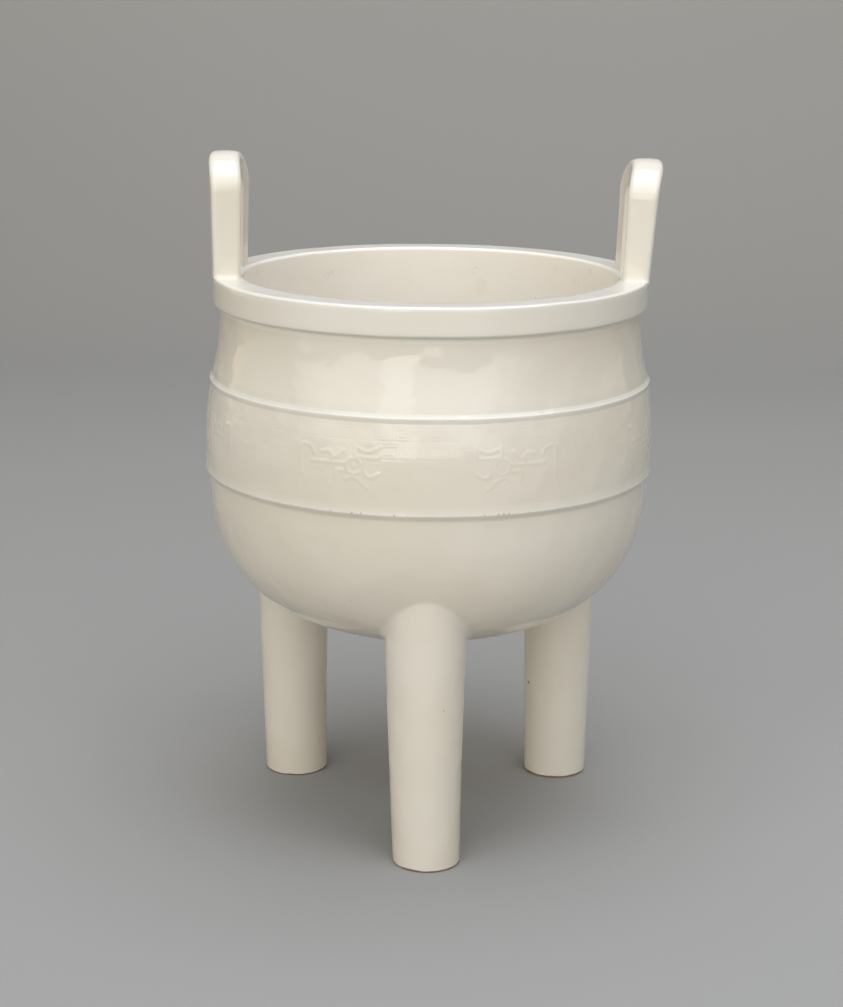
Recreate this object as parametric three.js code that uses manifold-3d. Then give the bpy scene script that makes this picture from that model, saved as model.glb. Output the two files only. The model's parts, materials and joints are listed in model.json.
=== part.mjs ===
// A glazed porcelain tripod vessel in the form of an ancient bronze ding: a round bowl with a thick flat
// rim, two upright handles on the rim, three round legs, and a band of masks in low relief.
// Millimetres, +Z up. The origin is on the floor under the middle of the bowl, one leg is at the front (-Y)
// and the handles stand at the two sides (+X and -X).
import * as THREE from "three";
import { mergeVertices } from "three/addons/utils/BufferGeometryUtils.js";
import Module from "manifold-3d";

// Heights above the floor
const rimTop = 213.2;
const rimHeight = 10.3;
const upperStringHeight = 174.3;
const lowerStringHeight = 140.0;
const bowlUnderside = 75.4;

// Radii from the vessel's axis
const rimRadius = 83.0;
const mouthRadius = 71.5;
const neckRadius = 80.25;
const neckFootRadius = 83.5;
const upperStringRadius = 84.8;
const bandTopRadius = 84.1;
const bandBottomRadius = 86.15;
const bandSwelling = 0.8;
const lowerStringRadius = 87.1;
const bowlRadius = 84.9;

// Fullness of the bowl's section at its side and at its bottom, where 2 is a plain oval, and of the neck's
// hollow curve, where 1 is a straight slope
const sideFullness = 2.8;
const bottomFullness = 2.47;
const neckHollow = 2.3;

// The wall, and the thickness of clay under the floor of the bowl
const wall = 6.5;
const bowlFloor = 7.0;

// Rounding of the edges
const rimRounding = 1.8;
const footRounding = 0.8;

// Strings: thin ridges round the band, with a shoulder on each side of the tip
const stringHalfWidth = 1.3;
const stringShoulderHalfWidth = 0.8;
const stringTipHeight = 0.4;

// Legs: three on one circle, thicker at the root than at the foot. Each was set by hand, so its foot and its
// root stand a little to one side, a shift along +X. Their clay ends hidden in the bowl's wall.
const legCircleRadius = 63.4;
const legFootRadius = 12.7;
const legRootRadius = { front: 14.7, rearRight: 14.2, rearLeft: 14.2 };
const legRootFlare = 1.6;
const legFootShift = { front: 0.7, rearRight: -0.7, rearLeft: 0.6 };
const legRootShift = { front: -0.3, rearRight: -0.7, rearLeft: 0.0 };
const legTopBelowString = 19.5;

// Handles: bars of clay bent over an opening, standing on the rim and following its curve. The lean is
// outwards, in degrees, from the root below the rim's top, and the outer face overhangs the rim's side.
const handleRise = { left: 45.8, right: 44.2 };
const handleLean = { left: -0.6, right: 3.2 };
const handleOverhang = 0.5;
const handleSpan = 39.6;
const handleBar = 11.4;
const handleFootDepth = 10.2;
const handleCrownDepth = 11.9;
const handleShoulder = 13.0;
const handleInnerShoulder = 5.0;
const handleRounding = 1.7;
const handleRoot = 5.0;

// Masks: low raised lines, four masks round the band
const maskCount = 4;
const reliefHeight = 0.5;
const reliefRoot = 0.4;
const strokeWidth = 1.5;
const strokeTopWidth = 0.9;
const eyeSpacing = 53.0;
const eyeRadius = 3.5;
const pupilRadius = 1.4;
const pupilTopRadius = 0.8;
const pupilHeight = 0.4;
const maskWidth = 95.2;

// Fineness of the facets
const turnSides = 48;
const bowlSteps = 8;
const hollowSteps = 5;
const neckSteps = 3;
const rimEdgeSteps = 2;
const footEdgeSteps = 1;
const legSides = 16;
const legRootSteps = 3;
const handleSteps = 14;
const eyeSides = 10;
const pupilSides = 5;

// Least cosine of half a bend, so that the outside of a sharp bend in a line of the relief stays short
const sharpestBend = 0.6;

const porcelain = new THREE.MeshStandardMaterial({ color: 0xe2dccb, roughness: 0.14, metalness: 0.0 });

const wasm = await Module();
wasm.setup();

// A closed geometry as a solid that can be joined and cut.
function solidOf(geometry) {
  const bare = geometry.clone();
  bare.deleteAttribute("normal");
  bare.deleteAttribute("uv");
  const merged = mergeVertices(bare, 1e-4);
  const made = new wasm.Manifold(
    new wasm.Mesh({
      numProp: 3,
      vertProperties: new Float32Array(merged.attributes.position.array),
      triVerts: new Uint32Array(merged.index.array),
    }),
  );
  return made;
}

// A solid as a geometry with its faces' own normals.
function geometryOf(solid) {
  const mesh = solid.getMesh();
  const geometry = new THREE.BufferGeometry();
  const positions = new Float32Array(mesh.numVert * 3);
  for (let i = 0; i < mesh.numVert; i++) {
    const start = i * mesh.numProp;
    positions.set(mesh.vertProperties.subarray(start, start + 3), i * 3);
  }
  geometry.setAttribute("position", new THREE.BufferAttribute(positions, 3));
  geometry.setIndex(new THREE.BufferAttribute(new Uint32Array(mesh.triVerts), 1));
  geometry.computeVertexNormals();
  return geometry;
}

// Turns a profile of radius and height round the vertical axis.
function turned(profile, sides) {
  const geometry = new THREE.LatheGeometry(profile, sides);
  geometry.rotateX(Math.PI / 2);
  return geometry;
}

const point = (radius, height) => new THREE.Vector2(radius, height);

// Points of a quarter round from the angle of one side to the other, about a centre.
function rounding(radius, height, size, from, to, steps) {
  const points = [];
  for (let i = 0; i <= steps; i++) {
    const angle = THREE.MathUtils.degToRad(from + ((to - from) * i) / steps);
    points.push(point(radius + size * Math.cos(angle), height + size * Math.sin(angle)));
  }
  return points;
}

// The bowl's section below the lower string is a squared-off oval: full at the side and nearly flat below.
function bowlSection(radius, top, underside, steps) {
  const points = [];
  for (let i = 0; i <= steps; i++) {
    const angle = (Math.PI / 2) * (1 - i / steps);
    const r = radius * Math.cos(angle) ** (2 / sideFullness);
    const z = top - (top - underside) * Math.sin(angle) ** (2 / bottomFullness);
    points.push(point(i === 0 ? 0 : r, z));
  }
  return points;
}

// Radius of the band at a height between the strings, swelling slightly in its middle.
function bandRadius(height) {
  const share = (height - lowerStringHeight) / (upperStringHeight - lowerStringHeight);
  const straight = THREE.MathUtils.lerp(bandBottomRadius, bandTopRadius, share);
  return straight + bandSwelling * Math.sin(Math.PI * THREE.MathUtils.clamp(share, 0, 1));
}

// Radius of the neck: upright under the rim and spreading to the upper string in a hollow curve.
function neckProfile() {
  const top = rimTop - rimHeight;
  const foot = upperStringHeight + stringHalfWidth;
  const points = [];
  for (let i = 0; i <= neckSteps; i++) {
    const share = i / neckSteps;
    const spread = (neckFootRadius - neckRadius) * (1 - share) ** neckHollow;
    points.push(point(neckRadius + spread, THREE.MathUtils.lerp(foot, top, share)));
  }
  return points;
}

// A string: a thin ridge whose tip stands at its own radius.
function stringRidge(radius, height, below, above) {
  const shoulder = radius - stringTipHeight;
  return [
    point(below, height - stringHalfWidth),
    point(shoulder, height - stringShoulderHalfWidth),
    point(radius, height),
    point(Math.max(above, shoulder), height + stringShoulderHalfWidth),
    point(above, height + stringHalfWidth),
  ];
}

function vesselProfile() {
  const under = rimTop - rimHeight;
  const bandFoot = lowerStringHeight + stringHalfWidth;
  const bandHead = upperStringHeight - stringHalfWidth;
  const bandMiddle = (bandFoot + bandHead) / 2;
  const bandInside = bandRadius(bandMiddle) - wall;
  const bowlTop = lowerStringHeight - stringHalfWidth;
  const outside = [
    ...bowlSection(bowlRadius, bowlTop, bowlUnderside, bowlSteps).slice(0, -1),
    ...stringRidge(lowerStringRadius, lowerStringHeight, bowlRadius, bandRadius(bandFoot)),
    point(bandRadius(bandMiddle), bandMiddle),
    ...stringRidge(upperStringRadius, upperStringHeight, bandRadius(bandHead), neckFootRadius),
    ...neckProfile().slice(1),
    ...rounding(rimRadius - rimRounding, under + rimRounding, rimRounding, -90, 0, rimEdgeSteps),
    ...rounding(rimRadius - rimRounding, rimTop - rimRounding, rimRounding, 0, 90, rimEdgeSteps),
    ...rounding(mouthRadius + rimRounding, rimTop - rimRounding, rimRounding, 90, 180, rimEdgeSteps),
  ];
  const hollow = [
    point(bandInside, bandMiddle),
    ...bowlSection(bowlRadius - wall, bowlTop, bowlUnderside + bowlFloor, hollowSteps).reverse(),
  ];
  return [...outside, ...hollow];
}

// The bowl's inside out to the middle of its wall, where the clay of the legs ends.
function legLimitProfile() {
  const bowlTop = lowerStringHeight - stringHalfWidth;
  return [
    ...bowlSection(bowlRadius - wall / 2, bowlTop, bowlUnderside + bowlFloor / 2, hollowSteps),
    point(0, bowlTop + wall),
  ];
}

// A leg stands upright with a softly rounded foot, swells towards its root and ends inside the bowl's wall.
function legSolid(side) {
  const top = lowerStringHeight - legTopBelowString;
  const edgeMiddle = legFootRadius - footRounding;
  const profile = [point(0, 0), ...rounding(edgeMiddle, footRounding, footRounding, -90, 0, footEdgeSteps)];
  for (let i = 0; i <= legRootSteps; i++) {
    const share = i / legRootSteps;
    const height = THREE.MathUtils.lerp(bowlUnderside, top, share);
    profile.push(point(legRootRadius[side] + legRootFlare * share ** 2, height));
  }
  profile.push(point(0, top));
  const leg = turned(profile, legSides);
  const position = leg.attributes.position;
  for (let i = 0; i < position.count; i++) {
    const share = position.getZ(i) / bowlUnderside;
    const shift = THREE.MathUtils.lerp(legFootShift[side], legRootShift[side], share);
    position.setX(i, position.getX(i) + shift);
  }
  return leg;
}

// Wraps flat drawing coordinates round the axis: x becomes a distance along the circle of the given radius,
// y the height, and z the distance from the axis.
function wrapped(geometry, circleRadius, facing) {
  const position = geometry.attributes.position;
  for (let i = 0; i < position.count; i++) {
    const angle = facing + position.getX(i) / circleRadius;
    const height = position.getY(i);
    const radius = position.getZ(i);
    position.setXYZ(i, radius * Math.cos(angle), radius * Math.sin(angle), height);
  }
  return geometry;
}

// Closes a row of equal rings, each a list of points, into one body with flat ends.
function lofted(rings, closed) {
  const size = rings[0].length;
  const positions = rings.flat().flatMap((p) => [p.x, p.y, p.z]);
  const index = [];
  const last = closed ? rings.length : rings.length - 1;
  for (let i = 0; i < last; i++) {
    const here = i * size;
    const next = ((i + 1) % rings.length) * size;
    for (let j = 0; j < size; j++) {
      const k = (j + 1) % size;
      index.push(here + j, here + k, next + k);
      index.push(here + j, next + k, next + j);
    }
  }
  if (!closed) {
    const end = (rings.length - 1) * size;
    for (let j = 1; j < size - 1; j++) {
      index.push(0, j + 1, j);
      index.push(end, end + j, end + j + 1);
    }
  }
  const geometry = new THREE.BufferGeometry();
  geometry.setAttribute("position", new THREE.Float32BufferAttribute(positions, 3));
  geometry.setIndex(index);
  return geometry;
}

// A handle in flat coordinates: x along the rim, y up from the rim's top, z out from the vessel's axis.
function handleSolid(rise, lean) {
  const outerHalf = handleSpan / 2;
  const innerHalf = outerHalf - handleBar;
  const springing = rise - handleShoulder;
  const innerSpringing = rise - handleBar - handleInnerShoulder;
  const footMiddle = rimRadius - handleFootDepth / 2;
  const leanShare = Math.tan(THREE.MathUtils.degToRad(lean));
  const outline = [
    [-outerHalf, -handleRoot, -innerHalf, -handleRoot],
    [-outerHalf, 0, -innerHalf, 0],
  ];
  for (let i = 0; i <= handleSteps; i++) {
    const angle = Math.PI * (1 - i / handleSteps);
    const across = Math.cos(angle);
    const up = Math.sin(angle);
    outline.push([
      outerHalf * across,
      springing + handleShoulder * up,
      innerHalf * across,
      innerSpringing + handleInnerShoulder * up,
    ]);
  }
  outline.push([outerHalf, 0, innerHalf, 0]);
  outline.push([outerHalf, -handleRoot, innerHalf, -handleRoot]);
  const rings = outline.map(([outerX, outerY, innerX, innerY]) => {
    const length = Math.hypot(outerX - innerX, outerY - innerY);
    const ring = [];
    for (const [side, radial] of [[1, 1], [-1, 1], [-1, -1], [1, -1]]) {
      for (const first of [true, false]) {
        // Each corner of the bar's section is cut by one flat, which stands for its rounding.
        const alongFirst = (side * radial < 0) === first;
        const cutSide = alongFirst ? handleRounding / length : 0;
        const cutRadial = alongFirst ? 0 : handleRounding;
        const share = 0.5 + side * (0.5 - cutSide);
        const x = THREE.MathUtils.lerp(innerX, outerX, share);
        const y = THREE.MathUtils.lerp(innerY, outerY, share);
        const grown = THREE.MathUtils.clamp(y / rise, 0, 1);
        const depth = THREE.MathUtils.lerp(handleFootDepth, handleCrownDepth, grown);
        const overhang = handleOverhang * THREE.MathUtils.clamp(1 + y / handleRoot, 0, 1);
        const middle = footMiddle + overhang + leanShare * (y + handleRoot);
        ring.push(new THREE.Vector3(x, rimTop + y, middle + radial * (depth / 2 - cutRadial)));
      }
    }
    return ring;
  });
  return lofted(rings, false);
}

// A raised line of the relief along a path of flat points, with sloping sides and a narrower top.
function strokeSolid(path) {
  const rings = path.map((here, i) => {
    const before = path[Math.max(i - 1, 0)];
    const after = path[Math.min(i + 1, path.length - 1)];
    const intoHere = here.clone().sub(i > 0 ? before : here.clone().multiplyScalar(2).sub(after)).normalize();
    const outOfHere = (i < path.length - 1 ? after.clone().sub(here) : intoHere.clone()).normalize();
    const along = intoHere.clone().add(outOfHere).normalize();
    const mitre = 1 / Math.max(along.dot(outOfHere), sharpestBend);
    const side = new THREE.Vector2(-along.y, along.x).multiplyScalar(mitre / 2);
    const ground = bandRadius(here.y);
    const corner = (width, rise) =>
      new THREE.Vector3(here.x + side.x * width, here.y + side.y * width, ground + rise);
    return [
      corner(strokeWidth, -reliefRoot),
      corner(strokeTopWidth, reliefHeight),
      corner(-strokeTopWidth, reliefHeight),
      corner(-strokeWidth, -reliefRoot),
    ];
  });
  return lofted(rings, false);
}

// An eye: a raised ring round a raised pupil.
function eyeSolids(x, y) {
  const ring = [];
  for (let i = 0; i < eyeSides; i++) {
    const angle = (2 * Math.PI * i) / eyeSides;
    const inner = eyeRadius - strokeWidth;
    const slope = (strokeWidth - strokeTopWidth) / 2;
    const at = (radius, rise) => {
      const height = y + radius * Math.sin(angle);
      return new THREE.Vector3(x + radius * Math.cos(angle), height, bandRadius(height) + rise);
    };
    ring.push([
      at(inner, -reliefRoot),
      at(inner + slope, reliefHeight),
      at(eyeRadius - slope, reliefHeight),
      at(eyeRadius, -reliefRoot),
    ]);
  }
  const pupil = [];
  for (const [radius, rise] of [[pupilRadius, -reliefRoot], [pupilTopRadius, pupilHeight]]) {
    const level = [];
    for (let i = 0; i < pupilSides; i++) {
      const angle = (2 * Math.PI * i) / pupilSides;
      const height = y + radius * Math.sin(angle);
      const across = x + radius * Math.cos(angle);
      level.push(new THREE.Vector3(across, height, bandRadius(height) + rise));
    }
    pupil.push(level);
  }
  return [lofted(ring, true), lofted(pupil, false)];
}

// The strokes of one half of a mask, for the side where x is positive. Distances are from the mask's centre
// line and from the middle of the band, in shares of the mask's half width and of the band's half height.
function halfMaskPaths() {
  const halfWidth = maskWidth / 2;
  const halfHeight = (upperStringHeight - lowerStringHeight) / 2;
  const middle = (upperStringHeight + lowerStringHeight) / 2;
  const at = (across, up) => new THREE.Vector2(across * halfWidth, middle + up * halfHeight);
  const eye = at(eyeSpacing / maskWidth, 0);
  const beside = (turns, lift) =>
    new THREE.Vector2(eye.x + turns * eyeRadius, eye.y + lift * eyeRadius);
  return {
    eye,
    strokes: [
      // brow bar running outwards from the eye
      [beside(0.8, 0.1), beside(2.7, 0.12), beside(4.6, 0.1)],
      // forked horn over the bar
      [beside(2.4, 0.1), beside(2.4, 1.1), beside(3.0, 1.45), beside(3.6, 1.35)],
      [beside(2.4, 1.0), beside(1.3, 1.55)],
      // forehead over the eye, with a raised end on each side
      [beside(0.1, 1.95), beside(-0.05, 0.8), beside(-1.4, 0.9), beside(-2.6, 0.95), beside(-2.75, 2.1)],
      // scroll of the nostril, inside and below the eye
      [beside(-1.15, 0.8), beside(-1.15, -0.75), beside(-1.9, -1.1), beside(-2.6, -0.75)],
      // jaw
      [beside(0.8, -1.5), beside(-0.4, -1.35), beside(-1.5, -2.1)],
      // lower hook outside the eye
      [beside(1.1, -0.6), beside(2.0, -0.6), beside(2.0, -1.5)],
      // ear: an upright with its top turned in
      [at(1, -0.28), at(1, 0.38), at(0.9, 0.34), at(0.87, 0.18)],
    ],
  };
}

function maskSolids(facing) {
  const made = [];
  const circle = bandRadius((upperStringHeight + lowerStringHeight) / 2);
  const { eye, strokes } = halfMaskPaths();
  for (const side of [1, -1]) {
    for (const path of strokes) {
      const flat = path.map((p) => new THREE.Vector2(side * p.x, p.y));
      if (side < 0) flat.reverse();
      made.push(strokeSolid(flat));
    }
    made.push(...eyeSolids(side * eye.x, eye.y));
  }
  return made.map((geometry) => solidOf(wrapped(geometry, circle, facing)));
}

function vesselSolid() {
  let vessel = solidOf(turned(vesselProfile(), turnSides));
  const legLimit = solidOf(turned(legLimitProfile(), turnSides));
  const legNames = ["front", "rearRight", "rearLeft"];
  for (const [i, name] of legNames.entries()) {
    const facing = -Math.PI / 2 + (2 * Math.PI * i) / legNames.length;
    const leg = legSolid(name);
    leg.translate(legCircleRadius * Math.cos(facing), legCircleRadius * Math.sin(facing), 0);
    vessel = vessel.add(solidOf(leg).subtract(legLimit));
  }
  for (const [side, facing] of [["right", 0], ["left", Math.PI]]) {
    const handle = handleSolid(handleRise[side], handleLean[side]);
    vessel = vessel.add(solidOf(wrapped(handle, rimRadius - handleFootDepth / 2, facing)));
  }
  for (let i = 0; i < maskCount; i++) {
    const facing = -Math.PI / 2 + (2 * Math.PI * i) / maskCount;
    for (const stroke of maskSolids(facing)) {
      vessel = vessel.add(stroke);
    }
  }
  return vessel;
}

const root = new THREE.Group();
const vessel = new THREE.Mesh(geometryOf(vesselSolid()), porcelain);
vessel.name = "ding_vessel";
root.add(vessel);

export default root;
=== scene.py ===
# Glazed porcelain tripod vessel in ding form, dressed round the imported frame.
# Blender works in metres. The sizes in the dictionaries are millimetres, and become metres when a mesh
# or a material is made; only the camera, the lights and the studio are given in metres.
import json
import math
import bpy
import numpy as np
from mathutils import Matrix, Vector


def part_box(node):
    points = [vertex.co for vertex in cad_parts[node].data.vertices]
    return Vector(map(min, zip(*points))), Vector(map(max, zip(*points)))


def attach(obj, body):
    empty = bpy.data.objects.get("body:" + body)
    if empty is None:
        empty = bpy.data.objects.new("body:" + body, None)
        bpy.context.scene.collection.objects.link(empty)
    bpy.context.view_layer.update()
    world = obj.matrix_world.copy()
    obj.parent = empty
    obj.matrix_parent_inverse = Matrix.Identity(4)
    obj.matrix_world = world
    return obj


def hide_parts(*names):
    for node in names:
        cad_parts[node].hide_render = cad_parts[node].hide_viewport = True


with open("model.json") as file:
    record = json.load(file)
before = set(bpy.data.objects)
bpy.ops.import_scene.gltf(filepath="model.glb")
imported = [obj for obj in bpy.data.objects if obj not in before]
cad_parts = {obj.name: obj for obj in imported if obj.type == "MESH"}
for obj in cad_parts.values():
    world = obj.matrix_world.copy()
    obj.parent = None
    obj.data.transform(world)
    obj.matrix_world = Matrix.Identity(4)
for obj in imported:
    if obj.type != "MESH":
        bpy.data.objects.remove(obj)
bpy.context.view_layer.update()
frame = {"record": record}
print("frame loaded")

mm = 0.001
mounts = {m["name"]: Vector(m["pos_m"]) / mm for m in frame["record"]["mounts"]}
rimTop = mounts["rim_top"].z
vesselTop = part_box("ding_vessel")[1].z / mm


# Camera

cameraLook = {
    "place": (0.0, -0.7959, 0.3288),
    "lens": 74.9,
    "down": 14.544,
    "turn": 0.2,
    "roll": 0.489,
    "clipStart": 0.05,
}


def addCamera(look):
    data = bpy.data.cameras.new("camera")
    data.lens = look["lens"]
    data.clip_start = look["clipStart"]
    camera = bpy.data.objects.new("camera", data)
    bpy.context.scene.collection.objects.link(camera)
    turn = Matrix.Rotation(math.radians(look["turn"]), 4, "Z")
    tilt = Matrix.Rotation(math.radians(90 - look["down"]), 4, "X")
    roll = Matrix.Rotation(math.radians(look["roll"]), 4, "Z")
    camera.matrix_world = Matrix.Translation(look["place"]) @ turn @ tilt @ roll
    bpy.context.scene.camera = camera


addCamera(cameraLook)
print("camera placed")


# Meshes

def makeObject(name, points, faces, marks=None, sharpAngle=48):
    # points in millimetres, faces as lists of indices, marks as values per point
    mesh = bpy.data.meshes.new(name)
    mesh.from_pydata(np.asarray(points) * mm, [], faces)
    for markName, values in (marks or {}).items():
        layer = mesh.attributes.new(markName, "FLOAT", "POINT")
        layer.data.foreach_set("value", np.asarray(values, dtype=np.float32))
    mesh.polygons.foreach_set("use_smooth", [True] * len(mesh.polygons))
    mesh.set_sharp_from_angle(angle=math.radians(sharpAngle))
    mesh.update()
    piece = bpy.data.objects.new(name, mesh)
    bpy.context.scene.collection.objects.link(piece)
    return piece


def gridFaces(rows, columns, wrap=True):
    # quads between the rows of a grid whose points are counted along each row
    faces = []
    last = columns if wrap else columns - 1
    for row in range(rows - 1):
        here = row * columns
        above = here + columns
        for column in range(last):
            following = (column + 1) % columns
            faces.append((here + column, here + following, above + following, above + column))
    return faces


def fanFaces(pole, ring, start, up):
    # triangles from one point to a ring of points
    faces = []
    for column in range(ring):
        here = start + column
        following = start + (column + 1) % ring
        faces.append((pole, here, following) if up else (pole, following, here))
    return faces


def softStep(value):
    # from nothing to one with soft ends
    value = np.clip(value, 0, 1)
    return value * value * (3 - 2 * value)


class Clay:
    # points, faces and glaze marks of one piece while it is put together from closed shells
    def __init__(self):
        self.points = []
        self.faces = []
        self.pool = []
        self.inside = []
        self.count = 0

    def add(self, points, faces, pool, inside=0.0):
        points = np.asarray(points, dtype=float).reshape(-1, 3)
        self.points.append(points)
        self.faces += [tuple(i + self.count for i in face) for face in faces]
        self.pool.append(np.broadcast_to(np.asarray(pool, dtype=float).ravel(), (len(points),)))
        self.inside.append(np.broadcast_to(np.asarray(inside, dtype=float).ravel(), (len(points),)))
        self.count += len(points)

    def makePiece(self, name):
        points = handMade(np.concatenate(self.points))
        marks = {"glazePool": np.concatenate(self.pool), "inside": np.concatenate(self.inside)}
        return makeObject(name, points, self.faces, marks)


# Hand-made unevenness: a slow warp that every piece of the vessel shares

unevenness = {
    "depth": 0.10,
    "waves": [
        # wavelengths along x, y and z, and the share of the depth
        (61.0, 47.0, 83.0, 0.9),
        (29.0, 37.0, 31.0, 0.5),
        (17.0, 13.0, 23.0, 0.16),
    ],
    "steadyFoot": 6.0,
    # the body below the neck stands a little to the left
    "drift": 0.3,
    "driftBelow": (150.0, 200.0),
    # the rim rises slightly towards the back
    "rearRise": 0.4,
    "rearRiseAbove": (175.0, 205.0),
}


def handMade(points):
    moved = points.copy()
    steady = np.clip(points[:, 2] / unevenness["steadyFoot"], 0, 1)
    # the odd factors keep the waves from lining up
    for order, (alongX, alongY, alongZ, share) in enumerate(unevenness["waves"]):
        size = unevenness["depth"] * share
        x = points[:, 0] * 2 * math.pi / alongX
        y = points[:, 1] * 2 * math.pi / alongY
        z = points[:, 2] * 2 * math.pi / alongZ
        moved[:, 0] += size * np.sin(y + 0.7 * z + order) * np.cos(0.6 * x)
        moved[:, 1] += size * np.sin(x - 0.8 * z + 2 * order + 1) * np.cos(0.5 * y)
        moved[:, 2] += 0.5 * size * steady * np.sin(x + y + 3 * order)
    low, high = unevenness["driftBelow"]
    moved[:, 0] -= unevenness["drift"] * softStep((high - points[:, 2]) / (high - low))
    low, high = unevenness["rearRiseAbove"]
    above = np.clip((points[:, 2] - low) / (high - low), 0, 1)
    moved[:, 2] += unevenness["rearRise"] * above * np.clip(points[:, 1] / body["rimRadius"], 0, 1)
    return moved


# Profile of the bowl

body = {
    "rimHeight": 10.8,
    "rimRadius": 82.9,
    "rimEdge": 0.95,
    "rimUnderEdge": 1.1,
    "rimUnderRise": 0.15,
    "rimFlare": 0.05,
    "mouthRadius": 71.5,
    "mouthEdge": 1.14,
    "mouthRise": 0.05,
    "neckRadius": 80.25,
    "neckFootRadius": 83.45,
    "neckHollow": 2.3,
    "neckSpread": 0.84,
    "neckShare": 0.97,
    "neckTopRounding": 1.3,
    "upperStringHeight": 174.3,
    "upperStringRadius": 84.6,
    "lowerStringHeight": 140.0,
    "lowerStringRadius": 86.35,
    "stringHalfWidth": 1.2,
    # lower foot, crest and upper foot of each string: height in half widths from its middle, and rounding
    "lowerString": ((-2.0, 2.25), (-0.2, 0.608), (2.4, 3.15)),
    "upperString": ((-1.5, 1.44), (0.0, 0.38), (1.1, 1.17)),
    # the plain stretches of band and neck start and end this many half widths from the strings
    "bandFrom": 4.5,
    "bandTo": 4.0,
    "neckFrom": 3.4,
    "bandTopRadius": 84.1,
    "bandBottomRadius": 86.1,
    "bandSwelling": 0.8,
    "bowlRadius": 84.85,
    "bowlTopSpread": 0.1,
    "underside": 75.4,
    "fullSide": 2.8,
    "flatBottom": 2.47,
    "wall": 6.5,
    "floor": 7.0,
    "wallRounding": 60.0,
    # the relief panels end this far below the lower and above the upper string
    "seamBelow": 3.9,
    "seamAbove": 4.3,
    # points drawn along each stretch, and those left out where the bowl meets the string
    "bowlPoints": 90,
    "bowlLeftOut": 4,
    "hollowPoints": 80,
    "bandPoints": 24,
    "neckPoints": 24,
}

# how finely the section is drawn and its bending measured
drawing = {
    "arcStep": 0.12,
    "fewestArcSteps": 4,
    "straightBelow": 0.01,
    "bendStep": 0.1,
    "bendWindow": 13,
}


def bowlCurve(radius, top, underside, count):
    # squared-off oval section of the bowl, from the axis to the side
    angle = np.linspace(math.pi / 2, 0, count)
    across = radius * np.cos(angle) ** (2 / body["fullSide"])
    across[0] = 0
    height = top - (top - underside) * np.sin(angle) ** (2 / body["flatBottom"])
    return list(zip(across, height))


def bowlUndersideAt(across):
    # height of the outer surface of the bowl at a distance from the axis
    top = body["lowerStringHeight"] - body["stringHalfWidth"]
    share = np.clip(across / body["bowlRadius"], 0, 1) ** (body["fullSide"] / 2)
    return top - (top - body["underside"]) * np.sqrt(1 - share**2) ** (2 / body["flatBottom"])


def bandRadiusAt(height):
    low = body["lowerStringHeight"]
    high = body["upperStringHeight"]
    share = np.clip((height - low) / (high - low), 0, 1)
    straight = body["bandBottomRadius"] + (body["bandTopRadius"] - body["bandBottomRadius"]) * share
    return straight + body["bandSwelling"] * np.sin(math.pi * share)


def filleted(corners):
    # line through corners (across, height, rounding), each corner turned into an arc
    line = []
    spots = [Vector(corner[:2]) for corner in corners]
    for i, (here, corner) in enumerate(zip(spots, corners)):
        size = corner[2]
        if i == 0 or i == len(spots) - 1 or size == 0:
            line.append(here)
            continue
        into = (here - spots[i - 1]).normalized()
        out = (spots[i + 1] - here).normalized()
        turn = into.angle(out)
        if turn < drawing["straightBelow"]:
            line.append(here)
            continue
        reach = size * math.tan(turn / 2)
        first = here - into * reach
        side = 1 if into.cross(out) > 0 else -1
        middle = first + Vector((-into.y, into.x)) * side * size
        arm = first - middle
        count = max(drawing["fewestArcSteps"], int(size * turn / drawing["arcStep"]))
        for k in range(count + 1):
            line.append(middle + Matrix.Rotation(side * turn * k / count, 2) @ arm)
    return np.array([(p.x, p.y) for p in line])


def vesselLine():
    # closed section of the vessel without legs and handles, from the axis below to the axis inside
    b = body
    under = rimTop - b["rimHeight"]
    half = b["stringHalfWidth"]
    low = b["lowerStringHeight"]
    high = b["upperStringHeight"]
    bowl = bowlCurve(b["bowlRadius"], low - half, b["underside"], b["bowlPoints"])
    corners = [(r, z, 0) for r, z in bowl[:-b["bowlLeftOut"]]]
    below, crest, above = [(low + share * half, rounding) for share, rounding in b["lowerString"]]
    corners += [
        (b["bowlRadius"] + b["bowlTopSpread"], *below),
        (b["lowerStringRadius"], *crest),
        (float(bandRadiusAt(above[0])), *above),
    ]
    bandHeights = np.linspace(low + b["bandFrom"] * half, high - b["bandTo"] * half, b["bandPoints"])
    corners += [(float(bandRadiusAt(height)), height, 0) for height in bandHeights]
    below, crest, above = [(high + share * half, rounding) for share, rounding in b["upperString"]]
    corners += [
        (float(bandRadiusAt(below[0])), *below),
        (b["upperStringRadius"], *crest),
        (b["neckFootRadius"], *above),
    ]
    neckFoot = high + b["neckFrom"] * half
    for share in np.linspace(0, b["neckShare"], b["neckPoints"]):
        spread = (b["neckFootRadius"] - b["neckRadius"]) * (1 - share) ** b["neckHollow"] * b["neckSpread"]
        corners.append((b["neckRadius"] + spread, neckFoot + (under - neckFoot) * share, 0))
    middle = (low + high) / 2
    corners += [
        (b["neckRadius"], under, b["neckTopRounding"]),
        (b["rimRadius"], under + b["rimUnderRise"], b["rimUnderEdge"]),
        (b["rimRadius"] + b["rimFlare"], rimTop, b["rimEdge"]),
        (b["mouthRadius"], rimTop + b["mouthRise"], b["mouthEdge"]),
        (float(bandRadiusAt(middle)) - b["wall"], middle, b["wallRounding"]),
    ]
    floor = b["underside"] + b["floor"]
    hollow = bowlCurve(b["bowlRadius"] - b["wall"], low - half, floor, b["hollowPoints"])
    corners += [(r, z, 0) for r, z in reversed(hollow)]
    return filleted(corners)


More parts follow.
